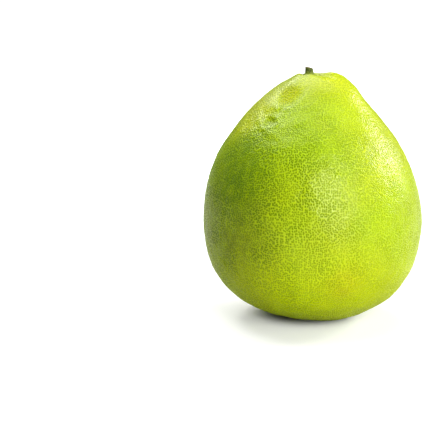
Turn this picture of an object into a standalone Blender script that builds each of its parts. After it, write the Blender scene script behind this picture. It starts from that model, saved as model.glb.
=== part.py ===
"""A whole pomelo, standing on its blossom end, with the cut stub of its stem still on.

A Blender 4.5 script in metres, +Z up. The origin is on the surface that the fruit stands on, under
the middle of the fruit. Its front faces -Y, and its fuller shoulder is on the +X side.
It makes two pieces: "fruit", the closed rind, and "stem", the stub grown together with its calyx.
"""

import math

import bmesh
import bpy
from mathutils import Vector, noise

# Driving dimensions
FRUIT_WIDTH = 0.152
FRUIT_HEIGHT = 0.1690
SCAR_WIDTH = 0.008
SCAR_DEPTH = 0.0009
SEAT_WIDTH = 0.0126
SEAT_DEPTH = 0.0016

# The rind's outline from the edge of its resting spot up to the collar round the stem. Each ring has
# a height, as a share of FRUIT_HEIGHT, a radius, as a share of half FRUIT_WIDTH, and the distance
# that its centre lies towards +X, as the same share.
OUTLINE = (
    (0.000, 0.204, 0.120),
    (0.016, 0.330, 0.088),
    (0.052, 0.545, 0.022),
    (0.115, 0.756, 0.016),
    (0.205, 0.904, 0.007),
    (0.305, 0.975, 0.004),
    (0.415, 1.000, 0.003),
    (0.530, 0.965, -0.004),
    (0.645, 0.880, -0.012),
    (0.745, 0.766, -0.020),
    (0.835, 0.610, -0.018),
    (0.910, 0.460, 0.002),
    (0.960, 0.345, 0.031),
    (0.988, 0.246, 0.036),
    (1.000, 0.160, 0.000),
    (0.999, 0.104, -0.040),
)
RINGS_PER_SPAN = 3
RING_POINTS = 90

# How the rings depart from circles: (lobes round the fruit, share of the radius, turn in degrees)
LOBES = ((2, 0.006, 70.0), (3, 0.003, 0.0), (5, 0.003, 110.0))
# Broad swells of the rind
SWELL_SIZE = 0.045
SWELL_HEIGHT = 0.0011
# Shallow creases that run out from the stem
CREASES = 6
CREASE_DEPTH = 0.0010
CREASE_REACH = (0.004, 0.036)
# The crown falls away in front and behind more than to its two sides
SADDLE_DROP = 0.0022
SADDLE_REACH = (0.008, 0.034)
# Dents of the rind: (place, degrees round from +X, width, depth). A place of 11.5 is halfway between
# rings 11 and 12 of OUTLINE, counted from 0. A rise has a depth below 0.
DENTS = (
    (14.9, -97.0, 0.010, -0.0013),
    (13.7, 12.0, 0.017, -0.0013),
    (12.5, -3.0, 0.017, 0.0009),
    (11.6, -128.0, 0.017, 0.0012),
    (12.3, -138.0, 0.012, -0.0007),
    (10.1, -133.0, 0.007, 0.0010),
    (9.9, -128.0, 0.013, -0.0006),
    (10.9, 5.0, 0.022, 0.0010),
    (10.5, 95.0, 0.026, 0.0012),
    (9.2, 170.0, 0.030, 0.0010),
)

CALYX_LOBES = 5
CALYX_LOBE_DEPTH = 0.16
STUB_SLANT = 12.0
STUB_LEAN = 3.0
# The stem's side, from the calyx's flat underside up to the cut:
# (height above the seat, radius, how far the calyx's lobes show)
STEM_SIDE = (
    (0.0003, 0.0047, 1.0),
    (0.0007, 0.0053, 1.0),
    (0.0012, 0.0051, 1.0),
    (0.0018, 0.0042, 0.7),
    (0.0023, 0.0034, 0.3),
    (0.0030, 0.0030, 0.0),
    (0.0044, 0.0028, 0.0),
    (0.0058, 0.0028, 0.0),
    (0.0063, 0.0025, 0.0),
)
STEM_POINTS = 60


def clear_scene():
    for item in list(bpy.data.objects):
        bpy.data.objects.remove(item)


def make_material(name, color, roughness):
    material = bpy.data.materials.new(name)
    material.use_nodes = True
    shader = material.node_tree.nodes["Principled BSDF"]
    shader.inputs["Base Color"].default_value = (*color, 1.0)
    shader.inputs["Roughness"].default_value = roughness
    shader.inputs["Metallic"].default_value = 0.0
    return material


def smooth_step(low, high, value):
    share = min(1.0, max(0.0, (value - low) / (high - low)))
    return share * share * (3.0 - 2.0 * share)


def between(points, index, share):
    """The Catmull-Rom curve through the points, a share of the way from one to the next."""
    last = len(points) - 1
    before, start = Vector(points[max(index - 1, 0)]), Vector(points[index])
    end, after = Vector(points[index + 1]), Vector(points[min(index + 2, last)])
    return 0.5 * (
        2.0 * start
        + (end - before) * share
        + (2.0 * before - 5.0 * start + 4.0 * end - after) * share**2
        + (3.0 * start - before - 3.0 * end + after) * share**3
    )


def in_metres(station):
    height, radius, centre = station
    half = FRUIT_WIDTH / 2
    return height * FRUIT_HEIGHT, radius * half, centre * half


def rind_rings():
    """Every ring of the rind, from the resting spot to the collar, as (height, radius, centre)."""
    rings = []
    for index in range(len(OUTLINE) - 1):
        for step in range(RINGS_PER_SPAN):
            rings.append(in_metres(between(OUTLINE, index, step / RINGS_PER_SPAN)))
    rings.append(in_metres(OUTLINE[-1]))
    return rings


def crease(angle):
    """1 at the bottom of a crease and 0 on the swell between two, unevenly spaced."""
    wander = 0.35 * math.sin(2.0 * angle + 0.8) + 0.25 * math.sin(3.0 * angle)
    depth = 0.75 + 0.25 * math.sin(2.0 * angle + 2.2)
    return depth * (0.5 + 0.5 * math.cos(CREASES * angle + wander * CREASES * 0.5)) ** 2


def dent_centres():
    """Each dent as (middle, half its width, depth), its middle on the plain outline."""
    centres = []
    for place, turn, width, depth in DENTS:
        height, radius, centre = in_metres(between(OUTLINE, int(place), place % 1.0))
        angle = math.radians(turn)
        x = centre + radius * math.cos(angle)
        centres.append((Vector((x, radius * math.sin(angle), height)), width / 2, depth))
    return centres


def rind_point(ring, angle, dents):
    """A point of the rind on a ring of (height, radius, centre)."""
    height, radius, centre = ring
    lobed = 0.0
    for count, share, turn in LOBES:
        lobed += share * math.cos(count * (angle - math.radians(turn)))
    lobed *= smooth_step(0.0, 0.3 * FRUIT_HEIGHT, height)
    outward = Vector((math.cos(angle), math.sin(angle), 0.0))
    point = Vector((centre, 0.0, height)) + outward * radius * (1.0 + lobed)

    swell = noise.noise(point / SWELL_SIZE) * smooth_step(0.0, 0.2 * FRUIT_HEIGHT, height)
    point += outward * swell * SWELL_HEIGHT * smooth_step(0.0, FRUIT_WIDTH / 4, radius)

    if height > FRUIT_HEIGHT / 2:
        near, far = CREASE_REACH
        fade = smooth_step(near, 2.0 * near, radius) * (1.0 - smooth_step(2.0 * near, far, radius))
        point.z -= CREASE_DEPTH * crease(angle) * fade
        saddle = smooth_step(*SADDLE_REACH, radius) * math.sin(angle) ** 2
        point.z -= SADDLE_DROP * saddle * (1.0 - smooth_step(0.034, 0.060, radius))

    inward = (Vector((0.0, 0.0, 0.45 * FRUIT_HEIGHT)) - point).normalized()
    for middle, reach, depth in dents:
        point += inward * depth * math.exp(-(((point - middle).length / reach) ** 2))
    return point


def ring_of_vertices(mesh, points):
    return [mesh.verts.new(point) for point in points]


def join_rings(mesh, lower, upper):
    for index, corner in enumerate(lower):
        following = (index + 1) % len(lower)
        mesh.faces.new((corner, lower[following], upper[following], upper[index]))


def close_ring(mesh, ring, middle, upward):
    """A fan of faces from a ring to a point in its middle."""
    centre = mesh.verts.new(middle)
    for index, corner in enumerate(ring):
        following = ring[(index + 1) % len(ring)]
        mesh.faces.new((corner, following, centre) if upward else (following, corner, centre))


def finish_object(name, mesh, material, crease_degrees):
    data = bpy.data.meshes.new(name)
    mesh.to_mesh(data)
    mesh.free()
    data.materials.append(material)
    data.shade_smooth()
    data.set_sharp_from_angle(angle=math.radians(crease_degrees))
    made = bpy.data.objects.new(name, data)
    bpy.context.scene.collection.objects.link(made)
    return made


def seat_middle():
    """The middle of the flat floor, inside the collar, that the calyx sits on."""
    height, _, centre = in_metres(OUTLINE[-1])
    return Vector((centre, 0.0, height - SEAT_DEPTH))


def make_fruit(material):
    mesh = bmesh.new()
    angles = [2.0 * math.pi * index / RING_POINTS for index in range(RING_POINTS)]
    around = [Vector((math.cos(angle), math.sin(angle), 0.0)) for angle in angles]
    dents = dent_centres()

    # The scar where the flower was, a shallow dish in the resting spot
    scar = ring_of_vertices(mesh, [outward * SCAR_WIDTH / 2 for outward in around])
    close_ring(mesh, scar, (0.0, 0.0, SCAR_DEPTH), upward=False)

    lower = scar
    for ring in rind_rings():
        upper = ring_of_vertices(mesh, [rind_point(ring, angle, dents) for angle in angles])
        join_rings(mesh, lower, upper)
        lower = upper

    # The seat of the stem, a flat-bottomed hollow inside the collar
    seat = seat_middle()
    floor = ring_of_vertices(mesh, [seat + outward * SEAT_WIDTH / 2 for outward in around])
    join_rings(mesh, lower, floor)
    close_ring(mesh, floor, seat, upward=True)
    return finish_object("fruit", mesh, material, crease_degrees=60.0)


def stem_point(height, radius, lobed, angle):
    """A point of the stem's side. The calyx has five blunt lobes, and the stub's cut slants."""
    calyx = 1.0 - CALYX_LOBE_DEPTH * lobed * (1.0 - math.cos(CALYX_LOBES * angle)) / 2
    stub = 1.0 + 0.05 * (1.0 - lobed) * math.cos(3.0 * angle + 0.6)
    x = radius * calyx * stub * math.cos(angle)
    y = radius * calyx * stub * math.sin(angle)
    cut = smooth_step(STEM_SIDE[-4][0], STEM_SIDE[-2][0], height)
    lean = math.tan(math.radians(STUB_LEAN)) * height
    slant = math.tan(math.radians(STUB_SLANT)) * x * cut
    return seat_middle() + Vector((x - lean, y, height - slant))


def make_stem(material):
    """Rings from the calyx's flat underside, in over its lobes and up the stub to the slanted cut."""
    mesh = bmesh.new()
    angles = [2.0 * math.pi * index / STEM_POINTS for index in range(STEM_POINTS)]
    lower = None
    for height, radius, lobed in STEM_SIDE:
        points = [stem_point(height, radius, lobed, angle) for angle in angles]
        upper = ring_of_vertices(mesh, points)
        if lower:
            join_rings(mesh, lower, upper)
        else:
            close_ring(mesh, upper, stem_point(height, 0.0, 0.0, 0.0), upward=False)
        lower = upper
    close_ring(mesh, lower, stem_point(STEM_SIDE[-1][0], 0.0, 0.0, 0.0), upward=True)
    return finish_object("stem", mesh, material, crease_degrees=50.0)


def main():
    clear_scene()
    rind = make_material("rind", color=(0.48, 0.66, 0.03), roughness=0.42)
    wood = make_material("stem", color=(0.10, 0.12, 0.03), roughness=0.75)
    make_fruit(rind)
    make_stem(wood)


main()
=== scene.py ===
"""The looks of a whole pomelo: its finely pitted rind, its stem and calyx, a pale studio and the camera.

The rind and the stem are built again as fine meshes, by the same rules as the CAD solids that they
stand for, and each is fitted to its solid's box. Lengths are in metres, and the front faces -Y.
"""

import math

import bmesh
import bpy
import numpy as np
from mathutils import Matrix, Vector, noise


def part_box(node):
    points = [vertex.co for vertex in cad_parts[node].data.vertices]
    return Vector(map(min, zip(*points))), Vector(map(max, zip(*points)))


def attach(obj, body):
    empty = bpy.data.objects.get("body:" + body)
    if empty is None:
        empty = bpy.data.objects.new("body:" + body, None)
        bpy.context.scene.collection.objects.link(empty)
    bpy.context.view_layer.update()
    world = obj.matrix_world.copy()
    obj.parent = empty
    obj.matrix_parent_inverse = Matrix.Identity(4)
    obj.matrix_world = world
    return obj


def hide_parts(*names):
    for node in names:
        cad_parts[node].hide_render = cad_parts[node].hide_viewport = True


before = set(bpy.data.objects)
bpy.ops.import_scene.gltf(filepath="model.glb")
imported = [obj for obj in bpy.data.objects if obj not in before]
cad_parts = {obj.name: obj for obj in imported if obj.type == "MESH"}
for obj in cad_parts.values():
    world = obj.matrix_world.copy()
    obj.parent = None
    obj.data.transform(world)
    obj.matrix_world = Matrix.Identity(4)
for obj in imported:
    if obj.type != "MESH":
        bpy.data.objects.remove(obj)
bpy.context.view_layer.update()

# ---------------------------------------------------------------- the fruit's form, as in the CAD

FRUIT_WIDTH = 0.152
FRUIT_HEIGHT = 0.1690
# The blossom scar's hollow in the resting spot, and the ring that rounds it, as shares of the two
SCAR_WIDTH = 0.008
SCAR_DEPTH = 0.0009
SCAR_ROUNDING = (0.3, 0.8)
# The stem's seat in the crown, and how far in and down from its collar the ring is that rounds it
SEAT_WIDTH = 0.0126
SEAT_DEPTH = 0.0016
SEAT_ROUNDING = 0.4

# The rind's outline from the edge of its resting spot up to the collar round the stem. Each ring has
# a height, as a share of FRUIT_HEIGHT, a radius, as a share of half FRUIT_WIDTH, and the distance
# that its centre lies towards +X, as the same share.
OUTLINE = (
    (0.000, 0.204, 0.120),
    (0.016, 0.330, 0.088),
    (0.052, 0.545, 0.022),
    (0.115, 0.756, 0.016),
    (0.205, 0.904, 0.007),
    (0.305, 0.975, 0.004),
    (0.415, 1.000, 0.003),
    (0.530, 0.965, -0.004),
    (0.645, 0.880, -0.012),
    (0.745, 0.766, -0.020),
    (0.835, 0.610, -0.018),
    (0.910, 0.460, 0.002),
    (0.960, 0.345, 0.031),
    (0.988, 0.246, 0.036),
    (1.000, 0.160, 0.000),
    (0.999, 0.104, -0.040),
)
# How the rings depart from circles: (lobes round the fruit, share of the radius, turn in degrees).
# Below this height they fade out
LOBES = ((2, 0.006, 70.0), (3, 0.003, 0.0), (5, 0.003, 110.0))
LOBES_FADE = 0.3 * FRUIT_HEIGHT
# Broad swells of the rind. They fade out below this height, and within this distance of the axis
SWELL_SIZE = 0.045
SWELL_HEIGHT = 0.0011
SWELL_FADES = (0.2 * FRUIT_HEIGHT, FRUIT_WIDTH / 4)
# Shallow creases that run out from the stem, and the distances from it where they start and end
CREASES = 6
CREASE_DEPTH = 0.0010
CREASE_REACH = (0.004, 0.036)
# They stray from an even spacing, and differ in depth: (amount, waves round the stem, turn in radians)
CREASE_STRAYING = ((0.35, 2.0, 0.8), (0.25, 3.0, 0.0))
CREASE_MEAN = 0.75
CREASE_UNEVENNESS = (0.25, 2.0, 2.2)
# The crown falls away in front and behind more than to its two sides: the drop, the distances from
# the axis between which it grows, and those between which it fades out
SADDLE_DROP = 0.0022
SADDLE_REACH = (0.008, 0.034)
SADDLE_FADE = (0.034, 0.060)
# Dents press in towards the fruit's heart, which is this high
HEART_HEIGHT = 0.45 * FRUIT_HEIGHT
# Dents of the rind: (place, degrees round from +X, width, depth). A place of 11.5 is halfway between
# rings 11 and 12 of OUTLINE, counted from 0. A rise has a depth below 0.
DENTS = (
    (14.9, -97.0, 0.010, -0.0013),
    (13.7, 12.0, 0.017, -0.0013),
    (12.5, -3.0, 0.017, 0.0009),
    (11.6, -128.0, 0.017, 0.0012),
    (12.3, -138.0, 0.012, -0.0007),
    (10.1, -133.0, 0.007, 0.0010),
    (9.9, -128.0, 0.013, -0.0006),
    (10.9, 5.0, 0.022, 0.0010),
    (10.5, 95.0, 0.026, 0.0012),
    (9.2, 170.0, 0.030, 0.0010),
)

# The stem's side, from the calyx's flat underside up to the cut:
# (height above the seat, radius, how far the calyx's lobes show)
STEM_SIDE = (
    (0.0003, 0.0047, 1.0),
    (0.0007, 0.0053, 1.0),
    (0.0012, 0.0051, 1.0),
    (0.0018, 0.0042, 0.7),
    (0.0023, 0.0034, 0.3),
    (0.0030, 0.0030, 0.0),
    (0.0044, 0.0028, 0.0),
    (0.0058, 0.0028, 0.0),
    (0.0063, 0.0025, 0.0),
)
CALYX_LOBES = 5
CALYX_LOBE_DEPTH = 0.16
# The stub isn't round: (ridges, their height as a share of its radius, their turn in radians)
STUB_RIDGES = (3.0, 0.05, 0.6)
# The slope of the cut, and how far the stub leans towards -X, in degrees
STUB_SLANT = 12.0
STUB_LEAN = 3.0
# The finer relief of the bark: how close its fibres lie round the stem and along it, how close its
# grains lie, and how deep each of the two goes
FIBRE_PACKING = (1800.0, 350.0)
BARK_PACKING = 900.0
FIBRE_DEPTH = 0.00012
BARK_DEPTH = 0.00006
# The bark's fractal noise: how fast its octaves weaken, how much finer each is, and their number
BARK_OCTAVES = (0.7, 2.0, 3)
# Within this distance of the stem's middle the relief fades out
BARK_FADE = 0.002
# The cut is sunk inside its rim, and swells again at its pith: (share of the radius where the change
# starts, where it ends, depth)
CUT_DISH = (1.0, 0.75, 0.00035)
CUT_PITH = (0.35, 0.15, 0.00025)

# ---------------------------------------------------------------- the fine surface

# The cuts across each edge of the cube that the rind's mesh is blown up from
RIND_CUTS = 128
# The steps of the outline between two rings of OUTLINE
OUTLINE_STEPS = 24
# The gland pits are laid out on the cube's unfolded net, where half a side of the cube is this long
NET_UNIT = 0.062
# The oil glands: the distance between two, how unevenly they lie, from 0 to 1, and how far from its
# middle a pit stays at its deepest and where it ends, as shares of that distance. Their rows bend:
# (length of a bend, how far aside it goes)
GLAND_PITCH = 0.00160
GLAND_SCATTER = 0.75
PIT_FLOOR = 0.05
PIT_EDGE = 0.66
ROW_BENDS = (0.030, 0.007)
# The pits are shallower in some patches: (size of a patch, the part of the noise's range where they
# grow deeper, their depths at its ends)
PIT_PATCHES = (0.014, 0.34, 0.66, 0.70, 1.0)
# Relief in the mesh, as (size, depth): the dimples between glands, and broader hollows
DIMPLES = (0.0034, 0.00022)
HOLLOWS = (0.0090, 0.00030)
# The rind is wrinkled round the dimple of its left shoulder: reach, size and depth of the wrinkles
DIMPLE_AT = (-0.0315, -0.0333, 0.1418)
WRINKLES_REACH = (0.006, 0.028)
WRINKLES = (0.0050, 0.00070)
# How the dimple and the two lumps beside it stand out beyond the CAD's: (middle, reach of the whole
# height, where it ends, height)
LUMPS = (
    (DIMPLE_AT, 0.0005, 0.0080, -0.0008),
    ((-0.0270, -0.0243, 0.1512), 0.0010, 0.0090, 0.0007),
    ((-0.0290, -0.0405, 0.1355), 0.0010, 0.0085, 0.0006),
)

# ---------------------------------------------------------------- small helpers


def smooth_step(low, high, value):
    share = min(1.0, max(0.0, (value - low) / (high - low)))
    return share * share * (3.0 - 2.0 * share)


def between(points, index, share):
    """The Catmull-Rom curve through the points, a share of the way from one to the next."""
    last = len(points) - 1
    before, start = Vector(points[max(index - 1, 0)]), Vector(points[index])
    end, after = Vector(points[index + 1]), Vector(points[min(index + 2, last)])
    return 0.5 * (
        2.0 * start
        + (end - before) * share
        + (2.0 * before - 5.0 * start + 4.0 * end - after) * share**2
        + (3.0 * start - before - 3.0 * end + after) * share**3
    )


def link_object(name, data):
    made = bpy.data.objects.new(name, data)
    bpy.context.scene.collection.objects.link(made)
    return made


def fit_to_box(points, low, high):
    """The points, stretched and moved the little that makes their box the CAD node's."""
    points = np.array(points)
    own_low, own_high = points.min(axis=0), points.max(axis=0)
    scale = (np.array(high) - np.array(low)) / (own_high - own_low)
    return (points - own_low) * scale + np.array(low)


# ---------------------------------------------------------------- the rind's mesh


def in_metres(ring):
    """A ring of OUTLINE in metres, as (height, radius, centre)."""
    height, radius, centre = ring
    half = FRUIT_WIDTH / 2
    return height * FRUIT_HEIGHT, radius * half, centre * half


def wave(angle, amount, count, turn):
    return amount * math.sin(count * angle + turn)


def crease(angle):
    """Near 1 at the bottom of a crease, and 0 on the swell between two."""
    straying = sum(wave(angle, *each) for each in CREASE_STRAYING)
    depth = CREASE_MEAN + wave(angle, *CREASE_UNEVENNESS)
    return depth * (0.5 + 0.5 * math.cos(CREASES * angle + straying * CREASES * 0.5)) ** 2


def plain_point(ring, angle):
    """A point of a ring of (height, radius, centre), when it is a plain circle."""
    height, radius, centre = ring
    return Vector((centre + radius * math.cos(angle), radius * math.sin(angle), height))


def dent_centres():
    """Each dent as (middle, half its width, depth), its middle on the plain outline."""
    centres = []
    for place, turn, width, depth in DENTS:
        ring = in_metres(between(OUTLINE, int(place), place % 1.0))
        centres.append((plain_point(ring, math.radians(turn)), width / 2, depth))
    return centres


def rind_point(ring, angle, dents):
    """A point of the rind on a ring of (height, radius, centre)."""
    height, radius, centre = ring
    lobed = 0.0
    for count, share, turn in LOBES:
        lobed += share * math.cos(count * (angle - math.radians(turn)))
    lobed *= smooth_step(0.0, LOBES_FADE, height)
    outward = Vector((math.cos(angle), math.sin(angle), 0.0))
    point = Vector((centre, 0.0, height)) + outward * radius * (1.0 + lobed)

    foot_fade, middle_fade = SWELL_FADES
    swell = noise.noise(point / SWELL_SIZE) * smooth_step(0.0, foot_fade, height)
    point += outward * swell * SWELL_HEIGHT * smooth_step(0.0, middle_fade, radius)

    if height > FRUIT_HEIGHT / 2:
        near, far = CREASE_REACH
        fade = smooth_step(near, 2.0 * near, radius) * (1.0 - smooth_step(2.0 * near, far, radius))
        point.z -= CREASE_DEPTH * crease(angle) * fade
        saddle = smooth_step(*SADDLE_REACH, radius) * math.sin(angle) ** 2
        point.z -= SADDLE_DROP * saddle * (1.0 - smooth_step(*SADDLE_FADE, radius))

    inward = (Vector((0.0, 0.0, HEART_HEIGHT)) - point).normalized()
    for middle, reach, depth in dents:
        point += inward * depth * math.exp(-(((point - middle).length / reach) ** 2))
    return point


def seat_point(ring, collar, angle, dents):
    """A point of the stem's seat, which follows the collar's shape less and less towards its floor."""
    bent = rind_point(collar, angle, dents) - plain_point(collar, angle)
    return plain_point(ring, angle) + bent * smooth_step(SEAT_WIDTH / 2, collar[1], ring[1])


def outline_rows():
    """The whole outline, from the scar's middle to the seat's, and which of its rows is the collar.

    Each row is (height, radius, centre).
    """
    out, up = SCAR_ROUNDING
    rows = [(SCAR_DEPTH, 0.0, 0.0), (SCAR_DEPTH * up, SCAR_WIDTH * out, 0.0), (0.0, SCAR_WIDTH / 2, 0.0)]
    for index in range(len(OUTLINE) - 1):
        for step in range(OUTLINE_STEPS):
            rows.append(in_metres(between(OUTLINE, index, step / OUTLINE_STEPS)))
    height, radius, centre = in_metres(OUTLINE[-1])
    rows.append((height, radius, centre))
    collar_row = len(rows) - 1
    rounded = (1.0 - SEAT_ROUNDING) * radius + SEAT_ROUNDING * SEAT_WIDTH / 2
    rows.append((height - SEAT_ROUNDING * SEAT_DEPTH, rounded, centre))
    rows.append((height - SEAT_DEPTH, SEAT_WIDTH / 2, centre))
    rows.append((height - SEAT_DEPTH, 0.0, centre))
    return np.array(rows), collar_row


def rind_points(directions):
    """The rind's point in each direction from its heart, spread evenly along the outline."""
    rows, collar_row = outline_rows()
    steps = np.linalg.norm(np.diff(rows[:, :2], axis=0), axis=1)
    along = np.concatenate([[0.0], np.cumsum(steps)])
    collar = tuple(rows[collar_row])
    dents = dent_centres()
    points = []
    for x, y, z in directions:
        place = math.acos(max(-1.0, min(1.0, -z))) / math.pi * along[-1]
        angle = math.atan2(y, x)
        ring = tuple(float(np.interp(place, along, column)) for column in rows.T)
        if place > along[collar_row]:
            points.append(seat_point(ring, collar, angle, dents))
        else:
            points.append(rind_point(ring, angle, dents))
    return points


def unrolled(data, corners):
    """Each face corner's place on the cube's unfolded net, whose middle is the front side."""
    loops = np.empty(len(data.loops), dtype=np.int32)
    data.loops.foreach_get("vertex_index", loops)
    quads = corners[loops.reshape(-1, 4)]
    middles = quads.mean(axis=1)
    axes = np.abs(middles).argmax(axis=1)
    ahead = middles[np.arange(len(axes)), axes] > 0.0
    x, y, z = quads[..., 0], quads[..., 1], quads[..., 2]
    sides = (
        (1, False, x, z),
        (0, True, 2.0 + y, z),
        (0, False, -2.0 - y, z),
        (1, True, 4.0 - x, z),
        (2, True, x, 2.0 + y),
        (2, False, x, -2.0 - y),
    )
    places = np.zeros(quads.shape, dtype=np.float32)
    for axis, positive, across, up in sides:
        mine = (axes == axis) & (ahead == positive)
        places[mine, :, 0] = across[mine]
        places[mine, :, 1] = up[mine]
    return places * NET_UNIT


def make_rind():
    """A cube cut into a fine grid, blown up into the rind, so that its faces are all alike in size."""
    grid = bmesh.new()
    bmesh.ops.create_cube(grid, size=2.0)
    bmesh.ops.subdivide_edges(grid, edges=grid.edges, cuts=RIND_CUTS, use_grid_fill=True)
    data = bpy.data.meshes.new("rind")
    grid.to_mesh(data)
    grid.free()
    corners = np.array([vertex.co for vertex in data.vertices])
    directions = np.tan(corners * math.pi / 4)
    directions /= np.linalg.norm(directions, axis=1)[:, None]
    points = fit_to_box(rind_points(directions), *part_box("fruit"))
    net = data.attributes.new("net", "FLOAT_VECTOR", "CORNER")
    net.data.foreach_set("vector", unrolled(data, corners).ravel())
    data.vertices.foreach_set("co", points.astype(np.float32).ravel())
    data.shade_smooth()
    return link_object("rind", data)


# ---------------------------------------------------------------- nodes that relief and materials share


def math_node(tree, operation, first, second, clamp=False):
    """The two, each a number or a socket, put through a Math node."""
    node = tree.nodes.new("ShaderNodeMath")
    node.operation = operation
    node.use_clamp = clamp
    for socket, value in zip(node.inputs, (first, second)):
        if isinstance(value, (int, float)):
            socket.default_value = value
        else:
            tree.links.new(value, socket)
    return node.outputs[0]


def ramp(tree, value, low, high, to_low=0.0, to_high=1.0):
    """value, smoothly turned from the range low to high into the range to_low to to_high."""
    node = tree.nodes.new("ShaderNodeMapRange")
    node.interpolation_type = "SMOOTHSTEP"
    for name, setting in (("From Min", low), ("From Max", high), ("To Min", to_low), ("To Max", to_high)):
        node.inputs[name].default_value = setting
    tree.links.new(value, node.inputs["Value"])
    return node.outputs["Result"]


def noise_at(tree, position, size, detail=2.0, roughness=0.5, colour=False):
    """Cloudy noise whose largest clouds are size across, from 0 to 1, or three of them as a colour."""
    node = tree.nodes.new("ShaderNodeTexNoise")
    node.inputs["Scale"].default_value = 1.0 / size
    node.inputs["Detail"].default_value = detail
    node.inputs["Roughness"].default_value = roughness
    tree.links.new(position, node.inputs["Vector"])
    return node.outputs["Color" if colour else 0]


def axes_of(tree, vector):
    """The sockets of a vector's X, Y and Z."""
    node = tree.nodes.new("ShaderNodeSeparateXYZ")
    tree.links.new(vector, node.inputs[0])
    return node.outputs


def near_point(tree, position, middle, near, far):
    """1 within near of the point, and 0 beyond far from it."""
    node = tree.nodes.new("ShaderNodeVectorMath")
    node.operation = "DISTANCE"
    tree.links.new(position, node.inputs[0])
    node.inputs[1].default_value = middle
    return ramp(tree, node.outputs["Value"], near, far, 1.0, 0.0)


# ---------------------------------------------------------------- the rind's relief

# The part of a noise's range where it turns from nothing to all: most of its clouds lie between
CLOUDS = (0.30, 0.70)


def relief_tree():
    """Geometry nodes that press the dimples, hollows, wrinkles and lumps into the rind's mesh."""
    tree = bpy.data.node_groups.new("rind_relief", "GeometryNodeTree")
    tree.interface.new_socket("Geometry", in_out="INPUT", socket_type="NodeSocketGeometry")
    tree.interface.new_socket("Geometry", in_out="OUTPUT", socket_type="NodeSocketGeometry")
    start = tree.nodes.new("NodeGroupInput")
    end = tree.nodes.new("NodeGroupOutput")
    position = tree.nodes.new("GeometryNodeInputPosition").outputs[0]
    normal = tree.nodes.new("GeometryNodeInputNormal").outputs[0]

    depth = 0.0
    for size, sunk in (DIMPLES, HOLLOWS):
        waves = ramp(tree, noise_at(tree, position, size), *CLOUDS)
        depth = math_node(tree, "ADD", math_node(tree, "MULTIPLY", waves, -sunk), depth)
    size, sunk = WRINKLES
    folds = ramp(tree, noise_at(tree, position, size, 1.0), *CLOUDS, 0.0, -sunk)
    place = near_point(tree, position, DIMPLE_AT, *WRINKLES_REACH)
    depth = math_node(tree, "ADD", depth, math_node(tree, "MULTIPLY", folds, place))
    for middle, near, far, height in LUMPS:
        lump = near_point(tree, position, middle, near, far)
        depth = math_node(tree, "ADD", depth, math_node(tree, "MULTIPLY", lump, height))

    offset = tree.nodes.new("ShaderNodeVectorMath")
    offset.operation = "SCALE"
    tree.links.new(normal, offset.inputs[0])
    tree.links.new(depth, offset.inputs["Scale"])
    move = tree.nodes.new("GeometryNodeSetPosition")
    tree.links.new(start.outputs[0], move.inputs["Geometry"])
    tree.links.new(offset.outputs[0], move.inputs["Offset"])
    tree.links.new(move.outputs[0], end.inputs[0])
    return tree


def sink_relief(piece):
    """Moves the piece's own vertices as the relief's nodes say, and leaves no modifier on it."""
    modifier = piece.modifiers.new("relief", "NODES")
    modifier.node_group = relief_tree()
    graph = bpy.context.evaluated_depsgraph_get()
    shaped = bpy.data.meshes.new_from_object(piece.evaluated_get(graph))
    shaped.name = piece.name
    piece.modifiers.clear()
    piece.data = shaped


# ---------------------------------------------------------------- the stem's mesh

STEM_POINTS = 120
STEM_STEPS = 8
CUT_RINGS = 10


def stem_point(height, radius, lobed, angle):
    """A point of the stem above the seat's middle, by the CAD's rule, with bark and fibres added."""
    calyx = 1.0 - CALYX_LOBE_DEPTH * lobed * (1.0 - math.cos(CALYX_LOBES * angle)) / 2
    ridges, swell, turn = STUB_RIDGES
    stub = 1.0 + swell * (1.0 - lobed) * math.cos(ridges * angle + turn)
    x = radius * calyx * stub * math.cos(angle)
    y = radius * calyx * stub * math.sin(angle)
    cut = smooth_step(STEM_SIDE[-4][0], STEM_SIDE[-2][0], height)
    lean = math.tan(math.radians(STUB_LEAN)) * height
    slant = math.tan(math.radians(STUB_SLANT)) * x * cut
    point = Vector((x - lean, y, height - slant))
    round_it, along_it = FIBRE_PACKING
    fibre = noise.noise(Vector((x * round_it, y * round_it, height * along_it)))
    bark = noise.fractal(point * BARK_PACKING, *BARK_OCTAVES)
    inward = Vector((-math.cos(angle), -math.sin(angle), 0.0))
    sunk = FIBRE_DEPTH * (1.0 + fibre) + BARK_DEPTH * (1.0 + bark)
    return point + inward * sunk * min(1.0, radius / BARK_FADE)


def stem_rows():
    """The stem's outline, from its flat underside up its side and in over the cut, finely stepped."""
    rows = []
    for index in range(len(STEM_SIDE) - 1):
        for step in range(STEM_STEPS):
            rows.append(between(STEM_SIDE, index, step / STEM_STEPS))
    rows.append(Vector(STEM_SIDE[-1]))
    top, width, _ = STEM_SIDE[-1]
    dish_start, dish_end, dish_depth = CUT_DISH
    pith_start, pith_end, pith_height = CUT_PITH
    for ring in range(1, CUT_RINGS):
        share = 1.0 - ring / CUT_RINGS
        sunk = dish_depth * smooth_step(dish_start, dish_end, share)
        sunk -= pith_height * smooth_step(pith_start, pith_end, share)
        rows.append(Vector((top - sunk, width * share, 0.0)))
    return rows


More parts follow.
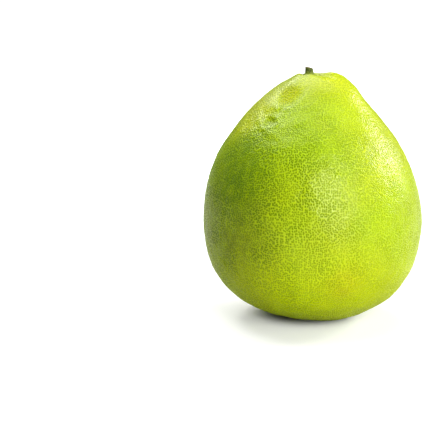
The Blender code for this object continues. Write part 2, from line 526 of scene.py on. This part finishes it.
def make_stem():
    rows = stem_rows()
    mesh = bmesh.new()
    angles = [2.0 * math.pi * index / STEM_POINTS for index in range(STEM_POINTS)]
    rings = [[mesh.verts.new(stem_point(*row, angle)) for angle in angles] for row in rows]
    for lower, upper in zip(rings, rings[1:]):
        for index in range(STEM_POINTS):
            following = (index + 1) % STEM_POINTS
            mesh.faces.new((lower[index], lower[following], upper[following], upper[index]))
    foot = mesh.verts.new(stem_point(STEM_SIDE[0][0], 0.0, 0.0, 0.0))
    heart = mesh.verts.new(stem_point(rows[-1][0], 0.0, 0.0, 0.0))
    for index in range(STEM_POINTS):
        following = (index + 1) % STEM_POINTS
        mesh.faces.new((rings[0][following], rings[0][index], foot))
        mesh.faces.new((rings[-1][index], rings[-1][following], heart))
    mesh.normal_update()
    data = bpy.data.meshes.new("stem_stub")
    mesh.to_mesh(data)
    mesh.free()
    points = fit_to_box([vertex.co for vertex in data.vertices], *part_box("stem"))
    data.vertices.foreach_set("co", points.astype(np.float32).ravel())
    data.shade_smooth()
    return link_object("stem_stub", data)


# ---------------------------------------------------------------- materials


def new_material(name):
    material = bpy.data.materials.new(name)
    material.use_nodes = True
    tree = material.node_tree
    return material, tree, tree.nodes["Principled BSDF"]


# The Mix node has sockets for each kind of value. These are the numbers of those for colours
COLOUR_A = 6
COLOUR_B = 7
COLOUR_RESULT = 2


def mix_colour(tree, factor, first, second, blend="MIX"):
    """first and second, mixed: each is a colour or a socket, and factor a number or a socket."""
    node = tree.nodes.new("ShaderNodeMix")
    node.data_type = "RGBA"
    node.blend_type = blend
    for name, value in (("Factor", factor), (COLOUR_A, first), (COLOUR_B, second)):
        socket = node.inputs[name]
        if isinstance(value, tuple):
            socket.default_value = (*value, 1.0)
        elif isinstance(value, (int, float)):
            socket.default_value = value
        else:
            tree.links.new(value, socket)
    return node.outputs[COLOUR_RESULT]


def bump_of(tree, height, depth):
    """Normals as if height, from 0 to 1, stood depth metres proud."""
    bump = tree.nodes.new("ShaderNodeBump")
    bump.inputs["Distance"].default_value = depth
    tree.links.new(height, bump.inputs["Height"])
    return bump.outputs["Normal"]


def object_position(tree):
    return tree.nodes.new("ShaderNodeTexCoord").outputs["Object"]


# The rind's colours: greener round its middle, and yellower at its ends
GREEN = (0.441, 0.619, 0.001)
YELLOW_GREEN = (0.508, 0.588, 0.002)
# How yellow it is by height: (height where a change starts, where it ends, yellowness at each)
LOW_END = (0.02, 0.10, 0.90, 0.38)
HIGH_END = (0.140, 0.168, 0.0, 0.60)
# The upper rind is greener on its -X cheek and yellower on its +X one, likewise along X, which
# shows between two heights
CHEEK = (-0.020, 0.065, -0.35, 0.70)
CHEEK_RISE = (0.07, 0.14)
# It drifts either way in patches: (size of a patch, the most that it drifts)
DRIFT = (0.050, 0.25)
# How the gland pits darken the skin on the -X side and on the +X side, and where along X the change lies.
# The pits' darkness is the glands' own colour. That it is deeper towards -X and paler towards +X is
# painted relief shade, as light falls from +X
PIT_COLOURS_SHADED_TO_LIT = ((0.24, 0.37, 0.20), (0.66, 0.75, 0.64))
PIT_PAINTED_SHADE_SPAN = (-0.045, 0.050)
# The pits grow shallow up the shoulders: (height where that starts, where it ends, depth at each)
PIT_CROWN = (0.125, 0.160, 1.0, 0.62)
# They grow deeper from the fruit's foot upwards, likewise
PIT_FOOT = (0.025, 0.080, 0.78, 1.0)
# The skin under the wax is rougher in the pits: (on the ridges, in the pits)
SKIN_ROUGHNESS = (0.42, 0.55)
SKIN_GLOSS = 0.06
# Tiny flecks darken the skin: (size, shade, strength), and the part of the noise's range that they take
FLECKS = (0.0009, (0.66, 0.74, 0.70), 0.30)
FLECK_RANGE = (0.30, 0.75)
# The skin's pores: (size, depth as a share of a pit's)
PORES = (0.0007, 0.20)
# The depth of a pit as light sees it, in the skin and in the wax that half fills it
PIT_DEPTH = 0.0006
WAX_PIT_DEPTH = 0.00012
# The share of wax on the ridges and in the pits, and how it thins out towards the fruit's foot
WAX = (0.56, 0.06)
WAX_FOOT = (0.010, 0.090, 0.12, 1.0)
WAX_ROUGHNESS = 0.30
# Where the wax has worn off: (middle, reach of the whole patch, where it ends, share that is lost)
MATT_PATCHES = (
    ((-0.0170, -0.0220, 0.1580), 0.004, 0.013, 0.95),
    ((-0.0600, -0.0480, 0.1180), 0.018, 0.046, 0.70),
    ((-0.0450, -0.0550, 0.0450), 0.020, 0.055, 0.45),
)
# Stains of the rind, with painted shade and painted highlights among them, in the order in which they
# are laid on: (middle, reach of the whole stain, where it ends, colour, strength)
STAINS_AND_PAINTED_LIGHT = (
    ((0.0060, -0.0620, 0.0340), 0.014, 0.050, (0.62, 0.74, 0.002), 0.42),
    ((0.0620, -0.0300, 0.0750), 0.012, 0.036, (0.38, 0.45, 0.001), 0.70),
    # painted light: the next two pale patches stand in for light from behind on the upper left shoulder's
    # edge
    ((-0.0420, -0.0140, 0.1380), 0.007, 0.027, (0.72, 0.78, 0.003), 0.75),
    ((-0.0360, -0.0120, 0.1560), 0.008, 0.034, (0.68, 0.73, 0.012), 0.65),
    # painted highlight: paler skin for the glints on the wrinkles below the dimple
    ((-0.0290, -0.0380, 0.1340), 0.004, 0.022, (0.56, 0.72, 0.004), 0.50),
    # painted shade in the dent on the crown's left shoulder
    ((-0.0170, -0.0220, 0.1580), 0.002, 0.012, (0.50, 0.50, 0.001), 0.70),
    ((0.0154, -0.0144, 0.1653), 0.003, 0.014, (0.72, 0.76, 0.002), 0.35),
    # painted highlight on the ridge of the crown just in front of the stem
    ((-0.0034, -0.0164, 0.1669), 0.001, 0.010, (0.72, 0.80, 0.060), 0.35),
    ((0.0038, -0.0455, 0.1409), 0.001, 0.008, (0.66, 0.74, 0.030), 0.35),
    # painted shade in the dimple of the left shoulder
    (DIMPLE_AT, 0.001, 0.009, (0.32, 0.45, 0.001), 0.50),
    ((0.0181, -0.0679, 0.0389), 0.002, 0.020, (0.50, 0.44, 0.002), 0.60),
    ((-0.0504, -0.0556, 0.0595), 0.002, 0.020, (0.46, 0.44, 0.002), 0.35),
    # partly greener skin and partly painted shade: the next two darken the left cheek
    ((-0.0600, -0.0480, 0.0780), 0.014, 0.056, (0.26, 0.32, 0.001), 0.92),
    ((-0.0560, -0.0480, 0.1120), 0.012, 0.042, (0.20, 0.34, 0.001), 0.90),
    ((-0.0027, 0.0000, 0.1690), 0.005, 0.009, (0.30, 0.30, 0.030), 0.55),
    ((0.0000, 0.0000, 0.0009), 0.003, 0.0065, (0.20, 0.13, 0.05), 0.85),
    ((0.0000, 0.0000, 0.0009), 0.006, 0.016, (0.66, 0.62, 0.10), 0.45),
)
# They are ragged: (size of a rag, the part of the noise's range where they grow stronger, their
# strengths at its ends)
RAGS = (0.006, 0.25, 0.75, 0.4, 1.0)


def ripeness(tree, position):
    """0 where the rind is greenest and 1 where it is yellowest."""
    x, _, height = axes_of(tree, position)
    ends = math_node(tree, "ADD", ramp(tree, height, *LOW_END), ramp(tree, height, *HIGH_END))
    cheek = math_node(tree, "MULTIPLY", ramp(tree, x, *CHEEK), ramp(tree, height, *CHEEK_RISE))
    size, most = DRIFT
    drift = ramp(tree, noise_at(tree, position, size, 3.0), *CLOUDS, -most, most)
    return math_node(tree, "ADD", math_node(tree, "ADD", ends, cheek), drift, clamp=True)


def with_stains_and_painted_light(tree, position, colour):
    """The rind's colour, with its stains, painted shade and painted highlights laid over it, ragged at
    their edges.
    """
    size, *strengths = RAGS
    ragged = ramp(tree, noise_at(tree, position, size, 4.0), *strengths)
    for middle, near, far, tint, strength in STAINS_AND_PAINTED_LIGHT:
        share = math_node(tree, "MULTIPLY", near_point(tree, position, middle, near, far), strength)
        colour = mix_colour(tree, math_node(tree, "MULTIPLY", share, ragged), colour, tint)
    return colour


def gland_pits(tree, position):
    """1 in the middle of each oil gland's pit and 0 on the ridges between them."""
    net = tree.nodes.new("ShaderNodeAttribute")
    net.attribute_name = "net"
    size, aside = ROW_BENDS
    bend = tree.nodes.new("ShaderNodeVectorMath")
    bend.operation = "MULTIPLY_ADD"
    tree.links.new(noise_at(tree, position, size, 1.0, colour=True), bend.inputs[0])
    bend.inputs[1].default_value = (aside, aside, 0.0)
    tree.links.new(net.outputs["Vector"], bend.inputs[2])
    cells = tree.nodes.new("ShaderNodeTexVoronoi")
    cells.voronoi_dimensions = "2D"
    cells.feature = "F1"
    cells.inputs["Scale"].default_value = 1.0 / GLAND_PITCH
    cells.inputs["Randomness"].default_value = GLAND_SCATTER
    tree.links.new(bend.outputs[0], cells.inputs["Vector"])
    pits = ramp(tree, cells.outputs["Distance"], PIT_FLOOR, PIT_EDGE, 1.0, 0.0)
    size, *depths = PIT_PATCHES
    pits = math_node(tree, "MULTIPLY", pits, ramp(tree, noise_at(tree, position, size), *depths))
    height = axes_of(tree, position)["Z"]
    for change in (PIT_CROWN, PIT_FOOT):
        pits = math_node(tree, "MULTIPLY", pits, ramp(tree, height, *change))
    return pits


def wax(tree, position, pits):
    """How much of the rind's clear wax is left: most on the ridges, and little in the pits."""
    foot = ramp(tree, axes_of(tree, position)["Z"], *WAX_FOOT)
    left = math_node(tree, "MULTIPLY", ramp(tree, pits, 0.0, 1.0, *WAX), foot)
    for middle, near, far, lost in MATT_PATCHES:
        place = near_point(tree, position, middle, near, far)
        left = math_node(tree, "MULTIPLY", left, ramp(tree, place, 0.0, 1.0, 1.0, 1.0 - lost))
    return left


def skin_colour(tree, position, pits):
    """The ripening skin with its stains, painted shade and highlights, flecks and shaded pits."""
    ripe = ripeness(tree, position)
    skin = with_stains_and_painted_light(tree, position, mix_colour(tree, ripe, GREEN, YELLOW_GREEN))
    size, dark, strength = FLECKS
    fleck = ramp(tree, noise_at(tree, position, size, 3.0, 0.7), *FLECK_RANGE)
    skin = mix_colour(tree, math_node(tree, "MULTIPLY", fleck, strength), skin, dark, "MULTIPLY")
    # painted shade: the pits darken more towards -X and less towards +X, as light falls from +X
    shade = mix_colour(tree, ramp(tree, axes_of(tree, position)["X"], *PIT_PAINTED_SHADE_SPAN), *PIT_COLOURS_SHADED_TO_LIT)
    return mix_colour(tree, pits, skin, shade, "MULTIPLY")


def rind_material():
    """Green skin pitted by oil glands, under a thin coat of clear wax."""
    material, tree, shader = new_material("rind_skin")
    position = object_position(tree)
    pits = gland_pits(tree, position)
    tree.links.new(skin_colour(tree, position, pits), shader.inputs["Base Color"])

    shader.inputs["Specular IOR Level"].default_value = SKIN_GLOSS
    tree.links.new(ramp(tree, pits, 0.0, 1.0, *SKIN_ROUGHNESS), shader.inputs["Roughness"])
    tree.links.new(wax(tree, position, pits), shader.inputs["Coat Weight"])
    shader.inputs["Coat Roughness"].default_value = WAX_ROUGHNESS

    size, share = PORES
    pores = math_node(tree, "MULTIPLY", noise_at(tree, position, size, 2.0), share)
    height = math_node(tree, "ADD", math_node(tree, "MULTIPLY", pits, -1.0), pores)
    tree.links.new(bump_of(tree, height, PIT_DEPTH), shader.inputs["Normal"])
    tree.links.new(bump_of(tree, height, WAX_PIT_DEPTH), shader.inputs["Coat Normal"])
    return material


# The stem's colours, each as (dark, light): its bark, its calyx and the dry cut at its top
BARK = ((0.030, 0.045, 0.006), (0.110, 0.140, 0.020))
CALYX = ((0.090, 0.130, 0.010), (0.260, 0.320, 0.030))
CUT = ((0.090, 0.065, 0.030), (0.330, 0.270, 0.130))
# Where the calyx turns into bark, and where the cut's colour may start, above the stem's foot
CALYX_TO_BARK = (0.0018, 0.0042)
CUT_RISE = (0.0040, 0.0046)
# The cut is what faces up there: how much, as the share of a level face
CUT_FACING = (0.60, 0.90)
BARK_GRAIN = 0.0011
BARK_ROUGHNESS = 0.75
BARK_GLOSS = 0.3
BARK_BUMP = 0.0002


def stem_material():
    """Mottled bark over a paler calyx, with dry wood where it was cut."""
    material, tree, shader = new_material("stem_bark")
    position = object_position(tree)
    grain = noise_at(tree, position, BARK_GRAIN, 4.0, 0.65)
    mottle = ramp(tree, grain, *CLOUDS)
    height = axes_of(tree, position)["Z"]
    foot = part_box("stem")[0][2]
    tones = [mix_colour(tree, mottle, dark, light) for dark, light in (CALYX, BARK)]
    bark = ramp(tree, height, *(foot + rise for rise in CALYX_TO_BARK))
    colour = mix_colour(tree, bark, *tones)
    normal = tree.nodes.new("ShaderNodeNewGeometry").outputs["Normal"]
    level = ramp(tree, axes_of(tree, normal)["Z"], *CUT_FACING)
    high = ramp(tree, height, *(foot + rise for rise in CUT_RISE))
    on_top = math_node(tree, "MULTIPLY", level, high)
    colour = mix_colour(tree, on_top, colour, mix_colour(tree, mottle, *CUT))
    tree.links.new(colour, shader.inputs["Base Color"])
    shader.inputs["Roughness"].default_value = BARK_ROUGHNESS
    shader.inputs["Specular IOR Level"].default_value = BARK_GLOSS
    tree.links.new(bump_of(tree, grain, BARK_BUMP), shader.inputs["Normal"])
    return material


# ---------------------------------------------------------------- the studio

FLOOR_HALF = 12.0
FLOOR_TONES = ((0.675, 0.675, 0.675), (0.685, 0.685, 0.685))
FLOOR_SPECKLE = 0.002
FLOOR_ROUGHNESS = 0.7
FLOOR_GLOSS = 0.1
# The floor looks lit from below, as a light table does, but its glow lights nothing else. The glow
# grows in two steps round the contact shadow's middle: (distance where a step starts, where it ends,
# the glow that it adds)
CONTACT = (-0.004, 0.010, 0.0)
NEAR_GLOW = (0.017, 0.051, 0.41)
FAR_GLOW = (0.15, 0.80, 0.64)
# Each softbox: (name, degrees round from +X, elevation, distance, width, height, watts)
SOFTBOXES = (
    ("key_softbox", -42.0, 32.0, 1.5, 0.90, 0.70, 6.0),
    ("front_strip", -69.0, 24.0, 1.5, 0.30, 0.72, 13.5),
    ("low_strip", -54.0, 6.0, 1.5, 0.34, 0.30, 4.5),
    ("side_softbox", 23.5, 22.5, 1.5, 0.54, 0.40, 19.0),
    ("top_softbox", 115.0, 74.0, 1.5, 1.60, 1.60, 21.0),
    ("back_softbox", 116.0, 42.0, 1.5, 0.80, 0.60, 8.0),
    ("shoulder_strip", 153.0, 56.0, 1.5, 0.30, 0.24, 3.8),
)
LIGHT_AIM = Vector((0.0, 0.0, 0.085))
# The backdrop's light, and the part of the sky that it fills, from nothing to all, as +Y's share
BACKDROP_LIGHT = 0.05
BACKDROP_REACH = (0.1, 0.6)


def floor_material():
    """Matt white, with a glow that grows away from the fruit."""
    material, tree, shader = new_material("floor_white")
    position = object_position(tree)
    glow = 0.0
    for start, end, most in (NEAR_GLOW, FAR_GLOW):
        dark = near_point(tree, position, CONTACT, start, end)
        glow = math_node(tree, "ADD", ramp(tree, dark, 0.0, 1.0, most, 0.0), glow)
    seen = tree.nodes.new("ShaderNodeLightPath").outputs["Is Camera Ray"]
    tree.links.new(math_node(tree, "MULTIPLY", glow, seen), shader.inputs["Emission Strength"])
    shader.inputs["Emission Color"].default_value = (1.0, 1.0, 1.0, 1.0)
    tone = mix_colour(tree, noise_at(tree, position, FLOOR_SPECKLE, 3.0), *FLOOR_TONES)
    tree.links.new(tone, shader.inputs["Base Color"])
    shader.inputs["Roughness"].default_value = FLOOR_ROUGHNESS
    shader.inputs["Specular IOR Level"].default_value = FLOOR_GLOSS
    return material


def make_floor():
    data = bpy.data.meshes.new("floor")
    half = FLOOR_HALF
    corners = [(-half, -half, 0.0), (half, -half, 0.0), (half, half, 0.0), (-half, half, 0.0)]
    data.from_pydata(corners, [], [(0, 1, 2, 3)])
    data.materials.append(floor_material())
    link_object("floor", data)


def make_softbox(name, turn, elevation, distance, width, height, watts):
    light = bpy.data.lights.new(name, "AREA")
    light.shape = "RECTANGLE"
    light.size = width
    light.size_y = height
    light.energy = watts
    lamp = link_object(name, light)
    turn, elevation = math.radians(turn), math.radians(elevation)
    level = math.cos(elevation)
    towards = Vector((math.cos(turn) * level, math.sin(turn) * level, math.sin(elevation)))
    lamp.location = LIGHT_AIM + towards * distance
    lamp.rotation_euler = (-towards).to_track_quat("-Z", "Y").to_euler()


def make_world():
    """A white surround, whose far side lights the fruit as a backdrop does."""
    world = bpy.data.worlds.new("studio")
    bpy.context.scene.world = world
    world.use_nodes = True
    tree = world.node_tree
    sky = tree.nodes["Background"]
    sky.inputs["Color"].default_value = (1.0, 1.0, 1.0, 1.0)
    towards = tree.nodes.new("ShaderNodeTexCoord").outputs["Generated"]
    behind = ramp(tree, axes_of(tree, towards)["Y"], *BACKDROP_REACH, 0.0, BACKDROP_LIGHT)
    seen = tree.nodes.new("ShaderNodeLightPath").outputs["Is Camera Ray"]
    tree.links.new(math_node(tree, "MAXIMUM", behind, seen), sky.inputs["Strength"])


CAMERA_DISTANCE = 1.10
CAMERA_ELEVATION = 12.0
CAMERA_TARGET = Vector((-0.0612, 0.0, 0.0655))
# The lens and the sensor's width, in millimetres
CAMERA_LENS = 128.2
SENSOR_WIDTH = 36.0


def make_camera():
    data = bpy.data.cameras.new("camera")
    data.lens = CAMERA_LENS
    data.sensor_width = SENSOR_WIDTH
    camera = link_object("camera", data)
    elevation = math.radians(CAMERA_ELEVATION)
    offset = Vector((0.0, -math.cos(elevation), math.sin(elevation))) * CAMERA_DISTANCE
    camera.location = CAMERA_TARGET + offset
    camera.rotation_euler = (-offset).to_track_quat("-Z", "Y").to_euler()
    bpy.context.scene.camera = camera


# ---------------------------------------------------------------- the scene

make_camera()
make_floor()
for softbox in SOFTBOXES:
    make_softbox(*softbox)
make_world()
bpy.context.scene.view_settings.view_transform = "Standard"

rind = make_rind()
sink_relief(rind)
rind.data.materials.clear()
rind.data.materials.append(rind_material())
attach(rind, "root")
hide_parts("fruit")

stem = make_stem()
stem.data.materials.append(stem_material())
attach(stem, "root")
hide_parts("stem")
